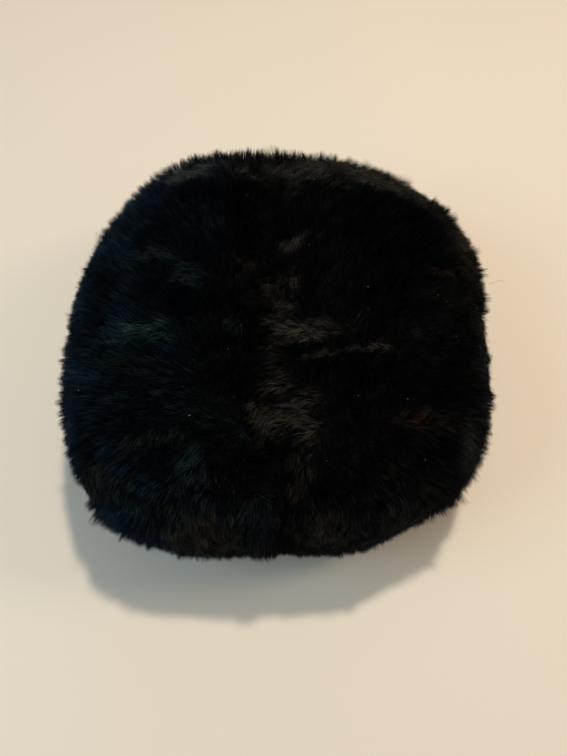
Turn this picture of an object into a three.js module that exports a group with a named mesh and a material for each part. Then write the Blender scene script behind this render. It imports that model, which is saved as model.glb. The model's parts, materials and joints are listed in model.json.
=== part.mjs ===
// A soft cap of black fur. Its crown is two panels sewn along a middle seam, and its side band is two
// lengths joined at the same seam, front and back. The band swells out above the head opening and turns in
// again to a shoulder seam that carries the crown. Each panel is one pelt: a skin with dense underfur on
// it, and locks of longer hair that lean along the nap and rise out of the underfur.
//
// Millimetres, +Z up. The cap stands on its rim at z = 0, its middle seam runs along Y, -Y is its front,
// and the origin is under the middle of its box.

import * as THREE from "three";

// Sizes of the whole cap over the tips of the locks
const DOME_TOP = 110; // of the crown's cushion, before the middle seam draws it down
const HALF_LENGTH = 129;
const HALF_WIDTH = { left: 112, right: 129 }; // from the middle seam, which lies left of the cap's middle

// The pelt, from the inside out, and the clearance between panels at a seam
const SKIN = 2;
const UNDERFUR = 7;
const LOCK_RISE = 5;
const SEAM_GAP = 0.3;
const SEAM_DIP = 1.5; // the fur parts and lies lower along a seam

// Rounded corners of the plan, by bearing from +X in degrees: 2 is an ellipse, and more is squarer
const CORNERS = [
  { bearing: 45, squareness: 2.6 },
  { bearing: 135, squareness: 2.7 },
  { bearing: 225, squareness: 3.2 },
  { bearing: 315, squareness: 2.5 },
];

// Swells and dents of the plan's outline: how far each moves it, and over how many degrees
const SWELLS = [
  { bearing: 26, rise: 7, spread: 16 },
  { bearing: 97, rise: 4, spread: 20 },
  { bearing: 143, rise: -5, spread: 14 },
  { bearing: 172, rise: 3, spread: 10 },
  { bearing: 205, rise: -1.5, spread: 10 },
  { bearing: 225, rise: -1.5, spread: 10 },
  { bearing: 318, rise: 2, spread: 13 },
  { bearing: 292, rise: 2, spread: 10 },
  { bearing: 352, rise: -1.5, spread: 9 },
];

// Sections of the side band, from the shoulder seam down to the rim, as shares of the cap's half sizes
const BAND_SECTIONS = [
  { z: 82, width: 0.905, length: 0.915 },
  { z: 66, width: 0.975, length: 0.98 },
  { z: 45, width: 1, length: 1 },
  { z: 20, width: 0.945, length: 0.96 },
  { z: 0, width: 0.845, length: 0.9 },
];
const SHOULDER = BAND_SECTIONS[0];
const SHOULDER_TILT = 38; // of the wall's outward direction there, in degrees above level
const RIM_SHARE = 0.12; // of the band, over which the wall turns level to stand on the rim

// The crown's cushion: its profile, and the valley that the middle seam draws down
const DOME_POWER = 2.4;
const DOME_ROUNDNESS = 0.72;
const VALLEY = { depth: 9, halfWidth: 15 };
const PRESSING = { fade: 0.8, fadePower: 4, edgePower: 12 }; // how valley and furrows die out at the edge

// Furrows pressed into the crown, each a line from near the seam out to one side
const FURROWS = [
  { from: { x: 4, y: 8 }, to: { x: 62, y: 2 }, depth: 2.5, halfWidth: 8 },
  { from: { x: 8, y: -58 }, to: { x: 42, y: -78 }, depth: 4, halfWidth: 9 },
  { from: { x: 30, y: -102 }, to: { x: 80, y: -88 }, depth: 2.5, halfWidth: 7 },
  { from: { x: -6, y: -17 }, to: { x: -58, y: -21 }, depth: 3, halfWidth: 9 },
  { from: { x: -6, y: -72 }, to: { x: -74, y: -66 }, depth: 3, halfWidth: 9 },
  { from: { x: -4, y: 52 }, to: { x: -50, y: 44 }, depth: 2, halfWidth: 9 },
];

// Grid of each panel: every second crossing of a row can carry a lock
const CROWN_GRID = { across: 14, along: 28 };
const BAND_ROWS = 12;
const LOCK_LEAN = 0.75; // of a row, along the nap
const LOCK_UNEVEN = 0.35; // share of the rise by which the locks differ
const LOCK_WAVE = { row: 2.7, column: 4.1 }; // how fast the unevenness turns, in radians a step

const blackFur = new THREE.MeshStandardMaterial({ name: "black_fur", color: 0x0e0d10, roughness: 0.9 });
const STEP = 1e-3; // for slopes, in shares of a panel
const INSIDE_HEIGHT = 20; // of a point in the head hollow that every panel faces away from

const degrees = THREE.MathUtils.degToRad;
const { clamp, smoothstep } = THREE.MathUtils;

// The plan

function squarenessAt(bearing) {
  let total = 0;
  let weights = 0;
  for (const corner of CORNERS) {
    const nearness = Math.max(0, Math.cos(bearing - degrees(corner.bearing))) ** 2;
    total += nearness * corner.squareness;
    weights += nearness;
  }
  return total / weights;
}

// The turn from one bearing to another, at most half a turn either way
function turnFrom(start, end) {
  return THREE.MathUtils.euclideanModulo(end - start + Math.PI, 2 * Math.PI) - Math.PI;
}

function swellAt(bearing) {
  let rise = 0;
  for (const swell of SWELLS) {
    const apart = turnFrom(degrees(swell.bearing), bearing);
    rise += swell.rise * Math.exp(-((apart / degrees(swell.spread)) ** 2));
  }
  return rise;
}

function outline(bearing, width, length) {
  const power = squarenessAt(bearing);
  const cos = Math.cos(bearing);
  const sin = Math.sin(bearing);
  const reach = (Math.abs(cos) ** power + Math.abs(sin) ** power) ** (-1 / power);
  const halfWidth = cos < 0 ? HALF_WIDTH.left : HALF_WIDTH.right;
  const swell = swellAt(bearing);
  return new THREE.Vector2(
    width * (halfWidth * reach + swell) * cos,
    length * (HALF_LENGTH * reach + swell) * sin,
  );
}

// The side band: a bearing round the cap and a share of the way from the shoulder seam to the rim

const bandProfile = new THREE.CatmullRomCurve3(
  BAND_SECTIONS.map((section) => new THREE.Vector3(section.width, section.length, section.z)),
);

function bandPoint(bearing, share) {
  const level = bandProfile.getPoint(share);
  const edge = outline(bearing, level.x, level.y);
  return new THREE.Vector3(edge.x, edge.y, level.z);
}

// The crown: shares across, from the middle seam out to the side, and along, from -1 in front to 1 behind

function discFromSquare(across, along) {
  return new THREE.Vector2(
    across * Math.sqrt(1 - along ** 2 / 2),
    along * Math.sqrt(1 - across ** 2 / 2),
  );
}

function furrowDepth(x, y) {
  let depth = 0;
  for (const furrow of FURROWS) {
    const start = new THREE.Vector2(furrow.from.x, furrow.from.y);
    const way = new THREE.Vector2(furrow.to.x, furrow.to.y).sub(start);
    const share = clamp(new THREE.Vector2(x, y).sub(start).dot(way) / way.lengthSq(), 0, 1);
    const distance = Math.hypot(x - start.x - share * way.x, y - start.y - share * way.y);
    depth += furrow.depth * Math.exp(-((distance / furrow.halfWidth) ** 2)) * (1 - share / 2);
  }
  return depth;
}

function crownPoint(side, across, along) {
  const disc = discFromSquare(across, along);
  const share = Math.min(1, disc.length());
  const edge = outline(Math.atan2(disc.y, side * disc.x), SHOULDER.width, SHOULDER.length);
  const x = edge.x * share;
  const y = edge.y * share;
  const rise = (DOME_TOP - SHOULDER.z) * (1 - share ** DOME_POWER) ** DOME_ROUNDNESS;
  const valley = VALLEY.depth * Math.exp(-((x / VALLEY.halfWidth) ** 2));
  const pressed = (valley + furrowDepth(x, y)) * (1 - PRESSING.fade * share ** PRESSING.fadePower);
  return new THREE.Vector3(x, y, SHOULDER.z + rise - pressed * (1 - share ** PRESSING.edgePower));
}

// Which way the wall faces

function facing(pointAt, row, column) {
  const rowSlope = pointAt(Math.min(1, row + STEP), column).sub(pointAt(Math.max(0, row - STEP), column));
  const columnSlope = pointAt(row, Math.min(1, column + STEP)).sub(pointAt(row, Math.max(0, column - STEP)));
  const normal = rowSlope.cross(columnSlope).normalize();
  const surface = pointAt(row, column);
  const outward = new THREE.Vector3(surface.x, surface.y, surface.z - INSIDE_HEIGHT);
  return normal.dot(outward) < 0 ? normal.negate() : normal;
}

function levelFacing(bearing) {
  const ahead = outline(bearing + STEP, SHOULDER.width, SHOULDER.length);
  const behind = outline(bearing - STEP, SHOULDER.width, SHOULDER.length);
  return new THREE.Vector3(ahead.y - behind.y, behind.x - ahead.x, 0).normalize();
}

function shoulderFacing(bearing) {
  const tilt = degrees(SHOULDER_TILT);
  return levelFacing(bearing).multiplyScalar(Math.cos(tilt)).setZ(Math.sin(tilt));
}

// Along the wall and up, at right angles to the way that the shoulder faces
function shoulderUphill(bearing) {
  const tilt = degrees(SHOULDER_TILT);
  return levelFacing(bearing).multiplyScalar(-Math.sin(tilt)).setZ(Math.cos(tilt));
}

// A panel: a grid of fur points over a grid of skin points, closed round its edges. A cell of the grid gives
// its surface point, the way it faces, whether it lies on a seam, and how far the seam's gap moves it.

function lockRise(row, column) {
  const uneven = 0.5 + 0.5 * Math.sin(row * LOCK_WAVE.row + column * LOCK_WAVE.column);
  return LOCK_RISE * (1 - LOCK_UNEVEN * uneven);
}

function isLock(row, column, rows, columns) {
  const inside = row < rows && column > 0 && column < columns;
  return inside && row % 2 === 1 && (column + (row - 1) / 2) % 2 === 1;
}

function furPanel(name, rows, columns, pointAt, cellAt, turned) {
  const fur = [];
  const skin = [];
  for (let row = 0; row <= rows; row++) {
    for (let column = 0; column <= columns; column++) {
      const cell = cellAt(row, column);
      const sunk = cell.onSeam ? LOCK_RISE + SEAM_DIP : LOCK_RISE;
      const low = cell.surface.clone().addScaledVector(cell.facing, -sunk).add(cell.shift);
      const tip = pointAt(Math.min(1, (row + LOCK_LEAN) / rows), column / columns);
      tip.addScaledVector(cell.facing, lockRise(row, column) - LOCK_RISE);
      fur.push(isLock(row, column, rows, columns) ? tip : low);
      const depth = LOCK_RISE + UNDERFUR + SKIN;
      skin.push(cell.surface.clone().addScaledVector(cell.facing, -depth).add(cell.shift));
    }
  }
  const panel = new THREE.Mesh(closedSheet(fur, skin, rows, columns, turned), blackFur);
  panel.name = name;
  return panel;
}

function closedSheet(outside, inside, rows, columns, turned) {
  const points = [...outside, ...inside];
  const at = (row, column) => row * (columns + 1) + column;
  const under = outside.length;
  const faces = [];
  const addQuad = (a, b, c, d) => faces.push(a, b, c, a, c, d);
  for (let row = 0; row < rows; row++) {
    for (let column = 0; column < columns; column++) {
      const quad = [at(row, column), at(row + 1, column), at(row + 1, column + 1), at(row, column + 1)];
      addQuad(...quad);
      addQuad(...quad.map((index) => index + under).reverse());
    }
  }
  const border = [];
  for (let row = 0; row < rows; row++) border.push(at(row, 0));
  for (let column = 0; column < columns; column++) border.push(at(rows, column));
  for (let row = rows; row > 0; row--) border.push(at(row, columns));
  for (let column = columns; column > 0; column--) border.push(at(0, column));
  border.forEach((index, place) => {
    const next = border[(place + 1) % border.length];
    addQuad(index, index + under, next + under, next);
  });
  if (turned) faces.reverse();
  const geometry = new THREE.BufferGeometry().setFromPoints(points);
  geometry.setIndex(faces);
  geometry.computeVertexNormals();
  return geometry;
}

// Each side's crown panel and length of band share the bearings of the crown's edge, so their seams meet

function crownPanel(name, side) {
  const { across, along } = CROWN_GRID;
  const pointAt = (row, column) => crownPoint(side, row, 2 * column - 1);
  const cellAt = (row, column) => {
    const surface = pointAt(row / across, column / along);
    const onEdge = row === across || column === 0 || column === along;
    const bearing = edgeBearing(side, row, column);
    const faces = onEdge ? shoulderFacing(bearing) : facing(pointAt, row / across, column / along);
    const shift = onEdge ? shoulderUphill(bearing).multiplyScalar(SEAM_GAP / 2) : new THREE.Vector3();
    return meetingMiddle({ surface, facing: faces, shift, onSeam: onEdge || row === 0 }, row === 0, side);
  };
  return furPanel(name, across, along, pointAt, cellAt, side < 0);
}

function edgeBearing(side, row, column) {
  const { across, along } = CROWN_GRID;
  const disc = discFromSquare(row / across, (2 * column) / along - 1);
  return Math.atan2(disc.y, side * disc.x);
}

// The crown's edge runs out along its front, back along its side and in along its back
function edgeBearings(side) {
  const { across, along } = CROWN_GRID;
  const bearings = [];
  for (let row = 0; row < across; row++) bearings.push(edgeBearing(side, row, 0));
  for (let column = 0; column < along; column++) bearings.push(edgeBearing(side, across, column));
  for (let row = across; row >= 0; row--) bearings.push(edgeBearing(side, row, along));
  return bearings;
}

function bandPanel(name, side) {
  const bearings = edgeBearings(side);
  const columns = bearings.length - 1;
  const bearingAt = (share) => {
    const place = clamp(share * columns, 0, columns);
    const before = Math.min(columns - 1, Math.floor(place));
    return bearings[before] + turnFrom(bearings[before], bearings[before + 1]) * (place - before);
  };
  const pointAt = (row, column) => bandPoint(bearingAt(column), row);
  const cellAt = (row, column) => {
    const share = row / BAND_ROWS;
    const bearing = bearingAt(column / columns);
    const surface = pointAt(share, column / columns);
    const towardsRim = smoothstep(share, 1 - RIM_SHARE, 1);
    const wallFacing = facing(pointAt, share, column / columns).lerp(levelFacing(bearing), towardsRim);
    const onShoulder = row === 0;
    const faces = onShoulder ? shoulderFacing(bearing) : wallFacing.normalize();
    const shift = onShoulder ? shoulderUphill(bearing).multiplyScalar(-SEAM_GAP / 2) : new THREE.Vector3();
    const atMiddle = column === 0 || column === columns;
    return meetingMiddle({ surface, facing: faces, shift, onSeam: onShoulder || atMiddle }, atMiddle, side);
  };
  return furPanel(name, BAND_ROWS, columns, pointAt, cellAt, side < 0);
}

// A cell on the middle seam faces along the seam's plane and keeps half the gap to its side of it
function meetingMiddle(cell, atMiddle, side) {
  if (!atMiddle) return cell;
  cell.facing.setX(0).normalize();
  cell.shift.setX((side * SEAM_GAP) / 2);
  cell.surface.setX(0);
  return cell;
}

const cap = new THREE.Group();
cap.name = "fur_cap";
for (const [sideName, side] of [["left", -1], ["right", 1]]) {
  cap.add(crownPanel(`crown_${sideName}`, side));
  cap.add(bandPanel(`band_${sideName}`, side));
}

// The box's middle goes to the origin
const middle = new THREE.Box3().setFromObject(cap).getCenter(new THREE.Vector3());
cap.position.set(-middle.x, -middle.y, 0);

export default cap;
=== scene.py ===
import json
import math

import bpy
import numpy as np
from mathutils import Matrix, Vector
from mathutils.kdtree import KDTree

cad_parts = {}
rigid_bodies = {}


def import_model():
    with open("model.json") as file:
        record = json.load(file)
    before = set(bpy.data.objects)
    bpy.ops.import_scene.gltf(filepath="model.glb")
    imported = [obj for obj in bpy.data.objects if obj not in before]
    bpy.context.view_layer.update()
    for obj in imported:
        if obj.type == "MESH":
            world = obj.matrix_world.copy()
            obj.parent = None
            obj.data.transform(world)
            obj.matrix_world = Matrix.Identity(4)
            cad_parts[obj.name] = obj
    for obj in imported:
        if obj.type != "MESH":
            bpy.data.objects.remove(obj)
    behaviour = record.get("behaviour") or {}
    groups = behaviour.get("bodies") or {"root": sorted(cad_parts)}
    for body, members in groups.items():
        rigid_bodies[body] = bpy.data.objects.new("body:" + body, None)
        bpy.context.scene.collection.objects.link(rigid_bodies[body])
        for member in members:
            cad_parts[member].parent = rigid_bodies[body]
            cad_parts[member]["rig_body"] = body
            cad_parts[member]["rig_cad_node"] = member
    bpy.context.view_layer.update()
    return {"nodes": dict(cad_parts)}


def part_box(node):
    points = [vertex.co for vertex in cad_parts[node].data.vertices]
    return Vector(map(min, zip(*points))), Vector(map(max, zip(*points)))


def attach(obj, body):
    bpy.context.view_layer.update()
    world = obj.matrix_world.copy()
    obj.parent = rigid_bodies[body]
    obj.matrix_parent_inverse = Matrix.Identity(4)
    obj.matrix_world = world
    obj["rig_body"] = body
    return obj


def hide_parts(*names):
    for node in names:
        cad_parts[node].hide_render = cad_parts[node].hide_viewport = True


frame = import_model()

# Pelts
# The crown is two panels of black pelt sewn along the middle, and the side band is two lengths of it.
# Each is a skin with a dense mat of underfur on it, sewn to its neighbours from the inside, so that the
# seams show only as partings.

MM = 0.001
UNDERFUR_DROP = 2.5 * MM  # the mat lies this far below the smoothed locks of the solid
EDGES_ROUNDED = 2  # rounds of smoothing that round a pelt's edges off
LOCKS_MELTED = 6  # further rounds that turn the locks into an even mat
LINING_EDGE = math.radians(40)  # the inside turns less than this between its faces, and more at its edges
SHARP_EDGE = math.radians(50)  # faces that meet more sharply than this aren't shaded as one
MERGE_DISTANCE = 0.01 * MM
MIDDLE_OF_HOLLOW = Vector((0, 0, 30 * MM))
UNDERFUR_COLOUR = (0.004, 0.004, 0.005, 1)
UNDERFUR_DEEP_COLOUR = (0.0015, 0.0015, 0.002, 1)
UNDERFUR_TUFT = 6 * MM
BACKING_COLOUR = (0.018, 0.017, 0.018, 1)
BACKING_WORN_COLOUR = (0.032, 0.03, 0.03, 1)
BACKING_WEAR = 24 * MM  # size of the worn places
BACKING_KNIT = 1.4 * MM
KNIT_DEPTH = 0.4 * MM


def underfur_material():
    material = bpy.data.materials.new("underfur")
    material.use_nodes = True
    nodes, links = material.node_tree.nodes, material.node_tree.links
    shader = nodes["Principled BSDF"]
    shader.inputs["Roughness"].default_value = 0.9
    shader.inputs["Specular IOR Level"].default_value = 0.05
    place = nodes.new("ShaderNodeTexCoord")
    tufts = nodes.new("ShaderNodeTexNoise")
    tufts.inputs["Scale"].default_value = 1 / UNDERFUR_TUFT
    shade = nodes.new("ShaderNodeValToRGB")
    shade.color_ramp.elements[0].color = UNDERFUR_DEEP_COLOUR
    shade.color_ramp.elements[1].color = UNDERFUR_COLOUR
    links.new(place.outputs["Object"], tufts.inputs["Vector"])
    links.new(tufts.outputs["Fac"], shade.inputs["Fac"])
    links.new(shade.outputs["Color"], shader.inputs["Base Color"])
    return material


def backing_material():
    material = bpy.data.materials.new("pelt_backing")
    material.use_nodes = True
    nodes, links = material.node_tree.nodes, material.node_tree.links
    shader = nodes["Principled BSDF"]
    shader.inputs["Roughness"].default_value = 0.85
    shader.inputs["Specular IOR Level"].default_value = 0.25
    place = nodes.new("ShaderNodeTexCoord")
    wear = nodes.new("ShaderNodeTexNoise")
    wear.inputs["Scale"].default_value = 1 / BACKING_WEAR
    wear.inputs["Detail"].default_value = 5
    shade = nodes.new("ShaderNodeValToRGB")
    shade.color_ramp.elements[0].position = 0.35
    shade.color_ramp.elements[0].color = BACKING_COLOUR
    shade.color_ramp.elements[1].position = 0.75
    shade.color_ramp.elements[1].color = BACKING_WORN_COLOUR
    knit = nodes.new("ShaderNodeTexVoronoi")
    knit.inputs["Scale"].default_value = 1 / BACKING_KNIT
    bump = nodes.new("ShaderNodeBump")
    bump.inputs["Strength"].default_value = 0.5
    bump.inputs["Distance"].default_value = KNIT_DEPTH
    links.new(place.outputs["Object"], wear.inputs["Vector"])
    links.new(place.outputs["Object"], knit.inputs["Vector"])
    links.new(wear.outputs["Fac"], shade.inputs["Fac"])
    links.new(shade.outputs["Color"], shader.inputs["Base Color"])
    links.new(knit.outputs["Distance"], bump.inputs["Height"])
    links.new(bump.outputs["Normal"], shader.inputs["Normal"])
    return material


def select_lining(pelt):
    """Selects the smooth sheet of faces round the one that looks most squarely into the head hollow."""

    def squareness(face):
        return face.normal.dot((MIDDLE_OF_HOLLOW - face.center).normalized())

    max(pelt.data.polygons, key=squareness).select = True
    bpy.ops.object.mode_set(mode="EDIT")
    bpy.ops.mesh.faces_select_linked_flat(sharpness=LINING_EDGE)


def make_pelt(node_name, underfur, backing):
    bpy.ops.object.select_all(action="DESELECT")
    node = frame["nodes"][node_name]
    node.select_set(True)
    bpy.context.view_layer.objects.active = node
    bpy.ops.object.duplicate()
    pelt = bpy.context.active_object
    pelt.name = node_name + "_pelt"
    bpy.ops.object.parent_clear(type="CLEAR_KEEP_TRANSFORM")
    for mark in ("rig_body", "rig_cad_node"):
        del pelt[mark]
    bpy.ops.mesh.customdata_custom_splitnormals_clear()
    pelt.data.materials.clear()
    pelt.data.materials.append(underfur)
    pelt.data.materials.append(backing)

    bpy.ops.object.mode_set(mode="EDIT")
    bpy.ops.mesh.select_all(action="SELECT")
    bpy.ops.mesh.remove_doubles(threshold=MERGE_DISTANCE)
    bpy.ops.mesh.select_mode(type="FACE")
    bpy.ops.mesh.select_all(action="DESELECT")
    bpy.ops.object.mode_set(mode="OBJECT")
    select_lining(pelt)
    pelt.active_material_index = 1
    bpy.ops.object.material_slot_assign()
    bpy.ops.mesh.select_mode(type="VERT")
    bpy.ops.mesh.select_all(action="INVERT")
    bpy.ops.mesh.vertices_smooth(factor=0.5, repeat=EDGES_ROUNDED)
    bpy.ops.mesh.select_less()
    bpy.ops.mesh.vertices_smooth(factor=0.5, repeat=LOCKS_MELTED)
    bpy.ops.transform.shrink_fatten(value=-UNDERFUR_DROP)
    bpy.ops.mesh.select_mode(type="FACE")
    bpy.ops.mesh.select_all(action="DESELECT")
    bpy.ops.object.material_slot_select()
    bpy.ops.mesh.region_to_loop()
    bpy.ops.transform.edge_crease(value=1)
    bpy.ops.transform.vert_crease(value=1)
    bpy.ops.object.mode_set(mode="OBJECT")

    rounding = pelt.modifiers.new("rounding", "SUBSURF")
    rounding.levels = 1
    rounding.render_levels = 1
    bpy.ops.object.modifier_apply(modifier=rounding.name)
    bpy.ops.object.shade_smooth_by_angle(angle=SHARP_EDGE)
    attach(pelt, "root")
    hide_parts(node_name)
    return pelt


underfur = underfur_material()
backing = backing_material()
pelts = {
    name: make_pelt(name, underfur, backing)
    for name in ("crown_left", "crown_right", "band_left", "band_right")
}

# Fur of the crown
# Fine black hair about 8 mm long stands close in the underfur like a plush pile, and leans a little away
# from the middle seam. Where a hand has brushed it over it lies flat and shows its strands, and a painted
# sheen of the lamps lightens and tints its colour.

CROWN_HAIRS = 52000  # on each panel
HAIR_SEED = 11
HAIR_LENGTH = 8 * MM
HAIR_LENGTHS = (0.92, 1.05)  # range from hair to hair, as shares of the pile's length
HAIR_WIDTH = 0.22 * MM
HAIR_WIDTHS = (0.7, 1.25)  # range from hair to hair
HAIR_TURN = 0.2  # spread from hair to hair, in radians
HAIR_LEAN = 0.12
HAIR_TONE = 0.09
MIDDLE_WIDTH = 0.85  # of a hair, as a share of its width at the root
LOWER_SHARE = 0.55  # of a hair's length, from its root to its middle
LOWER_LEAN = 0.6  # a hair bends, so that its lower part leans less than its tip
UPPER_LEAN = 1.3
LOCK_SHARE = 1 / 36  # locks to a hair
LOCK_SPACING = 3.5 * MM
LOCK_TURN = 0.2  # spread from lock to lock, in radians
LOCK_RISE = 0.07
LOCK_TONE = 0.05
LOCK_HOLD = (0.2, 0.75)  # how far a lock draws the tips of its hairs together
MIDDLE_HOLD = 0.4  # how far it draws their middles, as a share of that
STRAY_LOCKS = 0.14  # share of the locks that stand out as pointed tufts
STRAY_RISE = (0.1, 0.28)
STRAY_HOLD = 0.85
CROWN_LEAN = 0.24  # of the standing pile, in radians
CROWN_EDGE = (0.55, 0.95)  # shares of the crown's reach between which the nap turns outwards
UPRIGHT_WIDTH = 14 * MM  # the hair leans less and less within this of the seam
BACK_LONGER = 0.22
FRONT_SHORTER = 0.1
CORNER_LONGER = 0.25
PARTING_LONGER = 0.5
PARTING_HALF_WIDTH = 10 * MM
BLACK_TONE = 0.33
LIGHTEST_TONE = 0.92
# painted shade deep in the pile
ROOT_SHADE = 0.2  # a hair's root is this much as light as its tip
# Painted sheen on the unbrushed hair: a navy cast of the cool light to the left, lighter grey to the right
NAVY_SHEEN = (25 * MM, -85 * MM)  # places across the cap where it begins and where it is full
NAVY_SHARE = 1.3
NAVY_LIGHTER = 0.42
GREY_SHEEN = (55 * MM, 115 * MM)
GREY_LIGHTER = 0.12
# Brushed places: the hair lies over, and its lighter, tinted colour is painted sheen, streaked along the
# lie
BRUSHED_LEAN = 1.1
BRUSHED_EDGE = (0.55, 1.2)  # shares of a brushed place's half size between which the hair begins to stand
BRUSHED_HEIGHT = (30 * MM, 48 * MM)  # the brushed places fade in between these heights
LYING_REACH = 5 * MM  # from its root to the middle of a hair that lies over
STREAK_WIDTH = 2.6 * MM
STREAK_STRETCH = 0.8
STREAK_TONE = 0.09
STREAK_SEED = 23
TINT_SPREAD = 1.5  # the tint of a brushed place reaches a little past the hair that lies over

# Swells of the nap, the lean, the tone and the edges of brushed places: strength, size and seed of each
CROWN_SWIRLS = [(0.4, 24 * MM, 1), (0.15, 9 * MM, 2)]
CROWN_LEANS = [(0.14, 20 * MM, 3)]
CROWN_TONES = [(0.12, 12 * MM, 4)]
RAGGED_EDGES = [(0.3, 9 * MM, 21), (0.2, 4 * MM, 22)]

# The colour map of the hair: tones across it, and up it a row for each tint of painted lamp reflection
TONE_HALF_WIDTH = 0.004  # of a hair's strip
TONES = [
    (0.0, (0.0011, 0.0014, 0.0022, 1)),
    (0.3, (0.0022, 0.0026, 0.0037, 1)),
    (0.6, (0.014, 0.013, 0.011, 1)),
    (0.85, (0.062, 0.056, 0.043, 1)),
    (0.95, (0.12, 0.11, 0.09, 1)),
    (1.0, (0.5, 0.48, 0.44, 1)),
]
# plain black, then painted reflections of the lamps: teal, warm, navy and cool grey; the warm row also
# gives an orange tuft of lint its own colour
PAINTED_REFLECTION_TINTS = [(1, 1, 1, 1), (0.25, 0.66, 1, 1), (1, 0.54, 0.36, 1), (0.12, 0.42, 1, 1), (0.55, 0.8, 1, 1)]
TINT_ROWS = len(PAINTED_REFLECTION_TINTS)
PLAIN, PAINTED_TEAL_REFLECTION, PAINTED_WARM_REFLECTION_AND_LINT, PAINTED_NAVY_REFLECTION, PAINTED_COOL_REFLECTION = range(TINT_ROWS)

# Brushed places: middle and half sizes in mm, bearing of the long side, bearing of the hair, tone and tint.
# The tone and tint are painted sheen: the lamps' light reflected off the hair that lies over.
BRUSHED_WITH_PAINTED_SHEEN = [
    (-1, -14, 21, 12, 90, 268, 0.62, PLAIN),
    (12, -37, 17, 6, -6, 184, 0.8, PLAIN),
    (-3, -33, 13, 10, 100, 200, 0.7, PLAIN),
    (-8, -55, 14, 7, 60, 200, 0.66, PLAIN),
    (1, -77, 17, 12, 0, 192, 0.74, PLAIN),
    (-11, -80, 9, 9, 90, 225, 0.76, PLAIN),
    (9, 21, 14, 5, 16, 35, 0.7, PLAIN),
    (-22, 6, 9, 4, 0, 180, 0.6, PLAIN),
    (-19, -16, 6, 9, 0, 200, 0.48, PLAIN),
    (25, -48, 28, 2, 8, 188, 0.76, PLAIN),
    (66, -74, 14, 3.4, 10, 40, 0.66, PAINTED_WARM_REFLECTION_AND_LINT),
    (63, -37, 4, 8, 0, 265, 0.52, PAINTED_WARM_REFLECTION_AND_LINT),
    (-72, 11, 11, 6, 0, 165, 0.6, PAINTED_TEAL_REFLECTION),
    (-51, -5, 10, 9, 0, 200, 0.66, PAINTED_TEAL_REFLECTION),
    (-69, -36, 19, 7, 0, 188, 0.8, PAINTED_TEAL_REFLECTION),
    (-26, -34, 5, 6, 0, 250, 0.74, PAINTED_TEAL_REFLECTION),
    (-78, -50, 24, 2, -6, 172, 0.62, PAINTED_TEAL_REFLECTION),
    (-66, -57, 18, 1.6, -12, 168, 0.56, PAINTED_TEAL_REFLECTION),
    (-43, -70, 21, 2.2, -9, 170, 0.64, PAINTED_TEAL_REFLECTION),
    (-36, -77, 19, 2.2, -14, 165, 0.62, PAINTED_TEAL_REFLECTION),
    (-32, -83, 14, 2, -16, 162, 0.56, PAINTED_TEAL_REFLECTION),
    (-42, -104, 7, 10, 0, 250, 0.76, PAINTED_TEAL_REFLECTION),
    (-56, -91, 18, 2.4, 5, 262, 0.58, PAINTED_COOL_REFLECTION),
    (8, -102, 8, 8, 0, 260, 0.48, PLAIN),
    (5, -112, 4, 5, 0, 265, 0.6, PAINTED_WARM_REFLECTION_AND_LINT),
    (22, -125, 18, 7, 0, 268, 0.6, PLAIN),
    (-82, -104, 20, 5, -20, 250, 0.64, PAINTED_COOL_REFLECTION),
    (-64, -113, 19, 3.5, -16, 256, 0.58, PAINTED_TEAL_REFLECTION),
    (-38, -117, 16, 3.5, -8, 262, 0.64, PAINTED_TEAL_REFLECTION),
    (-12, -120, 9, 5, 0, 266, 0.54, PAINTED_TEAL_REFLECTION),
    (-36, -126, 18, 8, -5, 268, 0.64, PLAIN),
    (58, -118, 26, 6, 25, 285, 0.62, PAINTED_COOL_REFLECTION),
    (90, -90, 7, 15, 0, 310, 0.66, PAINTED_COOL_REFLECTION),
    # along the back edge and the right side: painted sheen where the lamps behind and at the right graze
    # the hair
    (-57, 79, 17, 11, 20, 200, 0.92, PAINTED_COOL_REFLECTION),
    (-9, 92, 1.5, 9, 0, 90, 0.66, PAINTED_COOL_REFLECTION),
    (14, 80, 30, 16, 0, 5, 0.75, PLAIN),
    (50, 78, 27, 14, -15, 340, 0.77, PLAIN),
    (79, 68, 20, 12, -45, 320, 0.79, PLAIN),
    (101, 35, 8, 24, 0, 280, 0.66, PLAIN),
    (105, -24, 8, 30, 0, 285, 0.56, PAINTED_COOL_REFLECTION),
    # an orange tuft of lint caught in the fur
    (84, 8, 9, 3.4, 8, 185, 0.84, PAINTED_WARM_REFLECTION_AND_LINT),
]

draws = np.random.default_rng(HAIR_SEED)


def smooth_noise(points, size, seed):
    """An even random field from about -1 to 1 whose swells are this size across."""
    waves = np.random.default_rng(seed)
    ways = waves.normal(size=(9, 3)) / size * 2.2
    starts = waves.uniform(0, 2 * math.pi, 9)
    return np.sin(points @ ways.T + starts).sum(axis=1) / 3.2


def layered_noise(points, layers):
    return sum(strength * smooth_noise(points, size, seed) for strength, size, seed in layers)


def unit(vectors):
    return vectors / np.maximum(np.linalg.norm(vectors, axis=1, keepdims=True), 1e-9)


def along_surface(ways, normals):
    return unit(ways - (ways * normals).sum(axis=1, keepdims=True) * normals)


def turn_towards(first, second, angles):
    """Turns unit vectors from the first towards the second, which is square to it."""
    return first * np.cos(angles)[:, None] + second * np.sin(angles)[:, None]


def smooth_step(low, high, values):
    share = np.clip((values - low) / (high - low), 0, 1)
    return share * share * (3 - 2 * share)


def mix(first, second, share):
    return first + (second - first) * share


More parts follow.
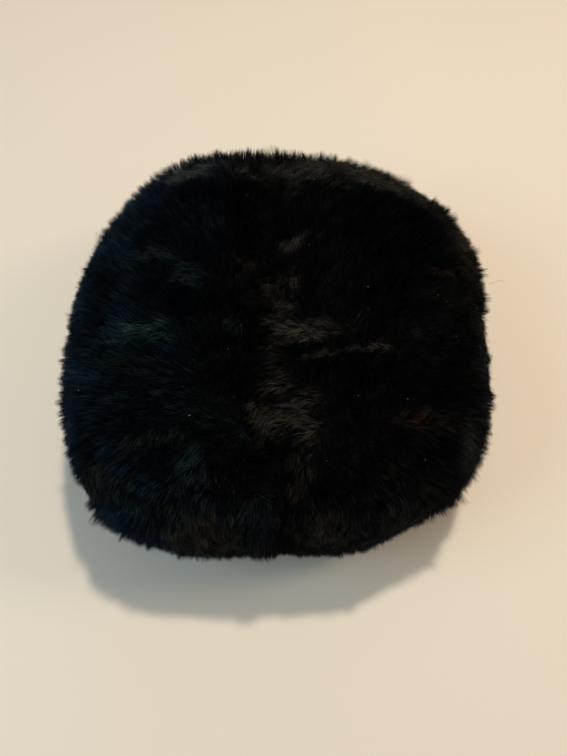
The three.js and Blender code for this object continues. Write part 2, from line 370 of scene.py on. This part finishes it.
def fur_skin(pelt):
    """The corners of the triangles that bear fur, the normals there, and the triangles' sizes."""
    mesh = pelt.data
    mesh.calc_loop_triangles()
    count = len(mesh.loop_triangles)
    corners = np.empty(count * 3, np.int32)
    mesh.loop_triangles.foreach_get("vertices", corners)
    slots = np.empty(count, np.int32)
    mesh.loop_triangles.foreach_get("material_index", slots)
    places = np.empty(len(mesh.vertices) * 3)
    mesh.vertices.foreach_get("co", places)
    places = places.reshape(-1, 3)
    corners = corners.reshape(-1, 3)[slots == 0]
    sides = places[corners]
    faces = np.cross(sides[:, 1] - sides[:, 0], sides[:, 2] - sides[:, 0])
    normals = np.zeros_like(places)
    for corner in range(3):
        np.add.at(normals, corners[:, corner], faces)
    return sides, unit(normals)[corners], np.linalg.norm(faces, axis=1)


def scatter(skin, count):
    sides, normals, areas = skin
    chosen = draws.choice(len(areas), count, p=areas / areas.sum())
    first, second = draws.random((2, count))
    over = first + second > 1
    first[over], second[over] = 1 - first[over], 1 - second[over]
    shares = np.stack([1 - first - second, first, second], axis=1)[:, :, None]
    return (sides[chosen] * shares).sum(axis=1), unit((normals[chosen] * shares).sum(axis=1))


def lock_of(roots, centres):
    tree = KDTree(len(centres))
    for index, centre in enumerate(centres):
        tree.insert(centre, index)
    tree.balance()
    return np.array([tree.find(root)[1] for root in roots])


def hair_mesh(name, roots, middles, tips, widths, tones, tints):
    """One mesh of flat tapering hairs, each a four-sided blade with a pointed end."""
    count = len(roots)
    random_ways = unit(draws.normal(size=(count, 3)))
    across = unit(np.cross(tips - roots, random_ways)) * widths[:, None] / 2
    middle_across = across * MIDDLE_WIDTH
    blade = [roots - across, roots + across, middles + middle_across, middles - middle_across, tips]
    points = np.stack(blade, axis=1)
    points[:, :, 2] = np.maximum(points[:, :, 2], 0)
    corner_order = np.array([0, 1, 2, 3, 3, 2, 4])
    mesh = bpy.data.meshes.new(name)
    mesh.vertices.add(count * 5)
    mesh.vertices.foreach_set("co", points.ravel())
    mesh.loops.add(count * 7)
    corners = np.arange(count)[:, None] * 5 + corner_order
    mesh.loops.foreach_set("vertex_index", corners.ravel().astype(np.int32))
    mesh.polygons.add(count * 2)
    starts = np.arange(count)[:, None] * 7 + np.array([0, 4])
    mesh.polygons.foreach_set("loop_start", starts.ravel().astype(np.int32))
    mesh.update(calc_edges=True)
    mesh.validate()
    side = np.array([-1, 1, 1, -1, -1, 1, 0]) * TONE_HALF_WIDTH
    height = np.array([0.04, 0.04, 0.5, 0.5, 0.5, 0.5, 0.96])
    colour_map = mesh.uv_layers.new(name="OFBake")
    places = np.empty((count, 7, 2))
    places[:, :, 0] = np.clip(tones, 0.01, 0.99)[:, None] + side
    places[:, :, 1] = (tints[:, None] + height) / TINT_ROWS
    colour_map.data.foreach_set("uv", places.ravel())
    hairs = bpy.data.objects.new(name, mesh)
    bpy.context.scene.collection.objects.link(hairs)
    return hairs


def set_stops(ramp, stops):
    ramp.elements[0].position, ramp.elements[0].color = stops[0]
    ramp.elements[1].position, ramp.elements[1].color = stops[-1]
    for position, colour in stops[1:-1]:
        ramp.elements.new(position).color = colour


def hair_material():
    """Colour by the hair's own map: across it the tone, up it the rows of painted reflection tints, each
    from root to tip with painted shade at the root.
    """
    material = bpy.data.materials.new("black_hair")
    material.use_nodes = True
    nodes, links = material.node_tree.nodes, material.node_tree.links
    shader = nodes["Principled BSDF"]
    shader.inputs["Roughness"].default_value = 0.55
    shader.inputs["Specular IOR Level"].default_value = 0.07
    place = nodes.new("ShaderNodeUVMap")
    place.uv_map = "OFBake"
    split = nodes.new("ShaderNodeSeparateXYZ")
    tone = nodes.new("ShaderNodeValToRGB")
    set_stops(tone.color_ramp, TONES)
    tint = nodes.new("ShaderNodeValToRGB")
    tint.color_ramp.interpolation = "CONSTANT"
    set_stops(tint.color_ramp, [(row / TINT_ROWS, colour) for row, colour in enumerate(PAINTED_REFLECTION_TINTS)])
    rows = nodes.new("ShaderNodeMath")
    rows.operation = "MULTIPLY"
    rows.inputs[1].default_value = TINT_ROWS
    along = nodes.new("ShaderNodeMath")
    along.operation = "FRACT"
    # painted shade: each hair darker towards its root
    painted_root_shade = nodes.new("ShaderNodeMapRange")
    painted_root_shade.inputs["To Min"].default_value = ROOT_SHADE
    tinted = nodes.new("ShaderNodeMix")
    shaded = nodes.new("ShaderNodeMix")
    for blend in (tinted, shaded):
        blend.data_type = "RGBA"
        blend.blend_type = "MULTIPLY"
        blend.inputs["Factor"].default_value = 1
    links.new(place.outputs["UV"], split.inputs["Vector"])
    links.new(split.outputs["X"], tone.inputs["Fac"])
    links.new(split.outputs["Y"], tint.inputs["Fac"])
    links.new(split.outputs["Y"], rows.inputs[0])
    links.new(rows.outputs["Value"], along.inputs[0])
    links.new(along.outputs["Value"], painted_root_shade.inputs["Value"])
    links.new(tone.outputs["Color"], tinted.inputs["A"])
    links.new(tint.outputs["Color"], tinted.inputs["B"])
    links.new(tinted.outputs["Result"], shaded.inputs["A"])
    links.new(painted_root_shade.outputs["Result"], shaded.inputs["B"])
    links.new(shaded.outputs["Result"], shader.inputs["Base Color"])
    return material


def brush(roots, normals, nap, lean, tones, tints):
    """Lays the hair of the brushed places over, in ragged streaks, and lightens and tints it with painted
    sheen.
    """
    ragged = layered_noise(roots, RAGGED_EDGES)
    high_up = smooth_step(*BRUSHED_HEIGHT, roots[:, 2])
    for x, y, half_long, half_short, turned, lies, tone, tint in BRUSHED_WITH_PAINTED_SHEEN:
        long_way = np.array([math.cos(math.radians(turned)), math.sin(math.radians(turned))])
        lie_way = np.array([math.cos(math.radians(lies)), math.sin(math.radians(lies)), 0])
        lying = roots[:, :2] + LYING_REACH * lie_way[:2]
        from_middle = lying / MM - (x, y)
        along = from_middle @ long_way / half_long
        across = from_middle @ (-long_way[1], long_way[0]) / half_short
        share = 1 - smooth_step(*BRUSHED_EDGE, np.hypot(along, across) + ragged)
        share *= high_up
        down_lie = roots @ lie_way
        drawn_out = roots - STREAK_STRETCH * down_lie[:, None] * lie_way
        streaks = smooth_noise(drawn_out, STREAK_WIDTH, STREAK_SEED)
        way = along_surface(np.broadcast_to(lie_way, roots.shape), normals)
        nap = unit(mix(nap, way, share[:, None]))
        lean = mix(lean, BRUSHED_LEAN, share)
        # painted sheen: the lying hair is lightened in streaks along its lie, and tinted
        tones = mix(tones, tone + STREAK_TONE * streaks, share)
        tints = np.where(draws.random(len(roots)) < share * TINT_SPREAD, tint, tints)
    return nap, lean, tones, tints


def grow_fur(name, roots, normals, nap, lean, lengths, tones, tints):
    """Hair on these roots: nap is which way it lies, and lean how far it has fallen over, in radians."""
    count = len(roots)
    lock_count = max(8, int(count * LOCK_SHARE))
    centres = roots[draws.choice(count, lock_count, replace=False)]
    locks = lock_of(roots, centres)
    gather = centres[locks] - roots
    gather *= np.clip(1 - np.linalg.norm(gather, axis=1) / (3 * LOCK_SPACING), 0, 1)[:, None]
    lock_turn = draws.normal(0, LOCK_TURN, lock_count)[locks]
    stray = draws.random(lock_count) < STRAY_LOCKS
    lock_rise = draws.normal(1, LOCK_RISE, lock_count) + stray * draws.uniform(*STRAY_RISE, lock_count)
    turn = lock_turn + draws.normal(0, HAIR_TURN, count)
    ways = turn_towards(nap, np.cross(normals, nap), turn)
    lengths = lengths * lock_rise[locks] * draws.uniform(*HAIR_LENGTHS, count)
    lean = lean + draws.normal(0, HAIR_LEAN, count)
    lower_ways = turn_towards(normals, ways, lean * LOWER_LEAN)
    upper_ways = turn_towards(normals, ways, lean * UPPER_LEAN)
    middles = roots + lengths[:, None] * LOWER_SHARE * lower_ways
    tips = middles + lengths[:, None] * (1 - LOWER_SHARE) * upper_ways
    hold = np.where(stray[locks], STRAY_HOLD, draws.uniform(*LOCK_HOLD, count))[:, None]
    middles += gather * hold * MIDDLE_HOLD
    tips += gather * hold
    widths = HAIR_WIDTH * draws.uniform(*HAIR_WIDTHS, count)
    tones = tones + draws.normal(0, LOCK_TONE, lock_count)[locks] + draws.normal(0, HAIR_TONE, count)
    hairs = hair_mesh(name, roots, middles, tips, widths, np.minimum(tones, LIGHTEST_TONE), tints)
    hairs.data.materials.append(black_hair)
    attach(hairs, "root")


def sheen(roots, tones):
    """Tones and tints of the unbrushed hair, with a painted sheen: navy to the left and lighter grey at the
    right.
    """
    left = smooth_step(*NAVY_SHEEN, roots[:, 0])
    right = smooth_step(*GREY_SHEEN, roots[:, 0])
    tints = np.where(draws.random(len(roots)) < NAVY_SHARE * left, PAINTED_NAVY_REFLECTION, PLAIN)
    return tones + NAVY_LIGHTER * left + GREY_LIGHTER * right, tints


def pile_lengths(roots):
    """The pile is longer at the back, the front corners and the middle seam, and shorter at the front."""
    back = smooth_step(0.2, 0.9, roots[:, 1] / crown_reach)
    front = smooth_step(0.3, 0.9, -roots[:, 1] / crown_reach)
    corner = front * smooth_step(0.45, 0.75, np.abs(roots[:, 0]) / crown_reach)
    parting = 1 - smooth_step(0, PARTING_HALF_WIDTH, np.abs(roots[:, 0] - seam_x))
    longer = BACK_LONGER * back + CORNER_LONGER * corner + PARTING_LONGER * parting
    return HAIR_LENGTH * (1 + longer - FRONT_SHORTER * front)


seam_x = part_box("crown_right")[0].x
crown_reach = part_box("crown_right")[1].y
black_hair = hair_material()

for side_name, side in (("left", -1), ("right", 1)):
    panel = "crown_" + side_name
    roots, normals = scatter(fur_skin(pelts[panel]), CROWN_HAIRS)
    from_seam = roots - np.array([seam_x, 0, 0])
    out = np.zeros_like(roots)
    out[:, 0] = side
    radial = unit(from_seam * np.array([1, 1, 0]))
    edge = smooth_step(*CROWN_EDGE, np.hypot(from_seam[:, 0], from_seam[:, 1]) / crown_reach)
    nap = along_surface(mix(out, radial, edge[:, None]), normals)
    nap = turn_towards(nap, np.cross(normals, nap), layered_noise(roots, CROWN_SWIRLS))
    lean = CROWN_LEAN + layered_noise(roots, CROWN_LEANS)
    lean = lean * smooth_step(0, UPRIGHT_WIDTH, np.abs(from_seam[:, 0]))
    tones = BLACK_TONE + layered_noise(roots, CROWN_TONES)
    nap, lean, tones, tints = brush(roots, normals, nap, lean, *sheen(roots, tones))
    grow_fur(panel + "_fur", roots, normals, nap, lean, pile_lengths(roots), tones, tints)

# Fur of the side band
# The same hair, combed down from the shoulder seam to the rim, where it splays on what the cap stands on.
# It makes the fringe all round the cap, which is a little longer or shorter from place to place.

BAND_HAIRS = 92000  # on each length, before those under the rim are taken out
BAND_LEAN = 0.26
BAND_SWIRLS = [(0.35, 26 * MM, 5), (0.25, 9 * MM, 6)]
BAND_LEANS = [(0.14, 20 * MM, 7)]
BAND_TONES = [(0.12, 12 * MM, 8)]
RIM_EDGE = 5 * MM  # below this height no hair grows where the pelt faces down
FACING_DOWN = -0.5

# How the fringe differs round the band: bearing and spread in degrees, and change of length in mm
FRINGE = [
    (162, 14, -3),
    (124, 12, -2.6),
    (76, 9, -2),
    (47, 7, -2.4),
    (24, 14, 1.2),
    (-31, 6, -1),
    (-45, 6, 3.2),
    (-58, 6, -1.2),
    (-86, 10, -1.6),
    (-110, 6, 1.2),
    (-128, 6, 1),
    (-143, 8, -2),
]


def fringe_change(roots):
    bearings = np.degrees(np.arctan2(roots[:, 1], roots[:, 0]))
    change = np.zeros(len(roots))
    for bearing, spread, more in FRINGE:
        apart = (bearings - bearing + 180) % 360 - 180
        change += more * MM * np.exp(-((apart / spread) ** 2))
    return change


for side_name in ("left", "right"):
    panel = "band_" + side_name
    roots, normals = scatter(fur_skin(pelts[panel]), BAND_HAIRS)
    clear = (roots[:, 2] > RIM_EDGE) | (normals[:, 2] > FACING_DOWN)
    roots, normals = roots[clear], normals[clear]
    down = np.zeros_like(roots)
    down[:, 2] = -1
    nap = along_surface(down, normals)
    nap = turn_towards(nap, np.cross(normals, nap), layered_noise(roots, BAND_SWIRLS))
    lean = BAND_LEAN + layered_noise(roots, BAND_LEANS)
    tones = BLACK_TONE + layered_noise(roots, BAND_TONES)
    nap, lean, tones, tints = brush(roots, normals, nap, lean, *sheen(roots, tones))
    lengths = pile_lengths(roots) + fringe_change(roots)
    for end_name, here in (("front", roots[:, 1] < 0), ("back", roots[:, 1] >= 0)):
        hair = [values[here] for values in (roots, normals, nap, lean, lengths, tones, tints)]
        grow_fur(f"{panel}_{end_name}_fur", *hair)

# Lint
# A few pale specks of dust are caught on the tips of the crown's fur, and one loose fibre sticks out at
# the right edge.

SPECKS = 26  # on each panel
SPECK_HEIGHT = 0.95 * HAIR_LENGTH
SPECK_LENGTH = 0.8 * MM
SPECK_LENGTHS = (0.5, 1.6)  # range from speck to speck
SPECK_WIDTH = 0.22 * MM
SPECK_TONE = 0.98
LOOSE_FIBRE = np.array([(116, 14, 76), (121, 15, 78), (127, 13, 77)]) * MM

crowns = [scatter(fur_skin(pelts["crown_" + side_name]), SPECKS) for side_name in ("left", "right")]
roots, normals = (np.concatenate(both) for both in zip(*crowns))
starts = roots + normals * SPECK_HEIGHT
ways = along_surface(draws.normal(size=starts.shape), normals)
lengths = SPECK_LENGTH * draws.uniform(*SPECK_LENGTHS, len(starts))
ends = starts + ways * lengths[:, None]
starts, middles, ends = (
    np.vstack([specks, point]) for specks, point in zip((starts, (starts + ends) / 2, ends), LOOSE_FIBRE)
)
count = len(starts)
widths = np.full(count, SPECK_WIDTH)
tones = np.full(count, SPECK_TONE)
tints = np.full(count, PLAIN)
lint = hair_mesh("lint", starts, middles, ends, widths, tones, tints)
lint.data.materials.append(black_hair)
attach(lint, "root")

# Floor, lights and camera
# A pale table top, warm light from behind and the right, cool light from the left, and the camera above the
# front of the cap.

FLOOR_SIZE = 6
TABLE_COLOUR = (0.78, 0.705, 0.605, 1)
ROOM_COLOUR = (1.0, 0.91, 0.81, 1)
ROOM_STRENGTH = 0.29
LAMPS_AIM = Vector((0, 0, 0.05))
LENS_PIXELS = 568  # focal length, where the picture's long side is the next value
IMAGE_LONG_SIDE = 756
SENSOR_WIDTH = 36
CAMERA_PLACE = Vector((1.6 * MM, -193.75 * MM, 322 * MM))
CAMERA_PITCH = 59.4
CAMERA_ROLL = 1.5
CAP_YAW = 1.24

# Lamps: name, place and size in metres, power in watts and colour
LAMPS = [
    ("ceiling_lamp", (0.23, 0.5, 1.62), 0.14, 16, (1.0, 0.88, 0.73)),
    ("right_lamp", (1.2, 0.1, 1.0), 0.4, 5, (1.0, 0.82, 0.62)),
    ("left_window", (-1.0, -0.35, 0.75), 0.8, 6.5, (0.5, 0.8, 1.0)),
]

bpy.ops.object.select_all(action="DESELECT")
bpy.ops.mesh.primitive_plane_add(size=FLOOR_SIZE)
floor = bpy.context.active_object
floor.name = "floor"
table_top = bpy.data.materials.new("pale_table_top")
table_top.use_nodes = True
table_shader = table_top.node_tree.nodes["Principled BSDF"]
table_shader.inputs["Base Color"].default_value = TABLE_COLOUR
table_shader.inputs["Roughness"].default_value = 0.6
floor.data.materials.append(table_top)

world = bpy.data.worlds.new("room")
bpy.context.scene.world = world
world.use_nodes = True
room_light = world.node_tree.nodes["Background"]
room_light.inputs["Color"].default_value = ROOM_COLOUR
room_light.inputs["Strength"].default_value = ROOM_STRENGTH

for name, place, size, power, colour in LAMPS:
    lamp = bpy.data.lights.new(name, "AREA")
    lamp.shape = "DISK"
    lamp.size = size
    lamp.energy = power
    lamp.color = colour
    holder = bpy.data.objects.new(name, lamp)
    holder.location = place
    holder.rotation_euler = (LAMPS_AIM - Vector(place)).to_track_quat("-Z", "Y").to_euler()
    bpy.context.scene.collection.objects.link(holder)

camera = bpy.data.cameras.new("camera")
camera.sensor_width = SENSOR_WIDTH
camera.lens = SENSOR_WIDTH * LENS_PIXELS / IMAGE_LONG_SIDE
camera.clip_start = 0.01
eye = bpy.data.objects.new("camera", camera)
turned = Matrix.Rotation(math.radians(-CAP_YAW), 4, "Z")
pitched = Matrix.Rotation(math.radians(90 - CAMERA_PITCH), 4, "X")
rolled = Matrix.Rotation(math.radians(CAMERA_ROLL), 4, "Z")
eye.matrix_world = turned @ Matrix.Translation(CAMERA_PLACE) @ pitched @ rolled
bpy.context.scene.collection.objects.link(eye)
bpy.context.scene.camera = eye
bpy.context.scene.view_settings.view_transform = "Standard"
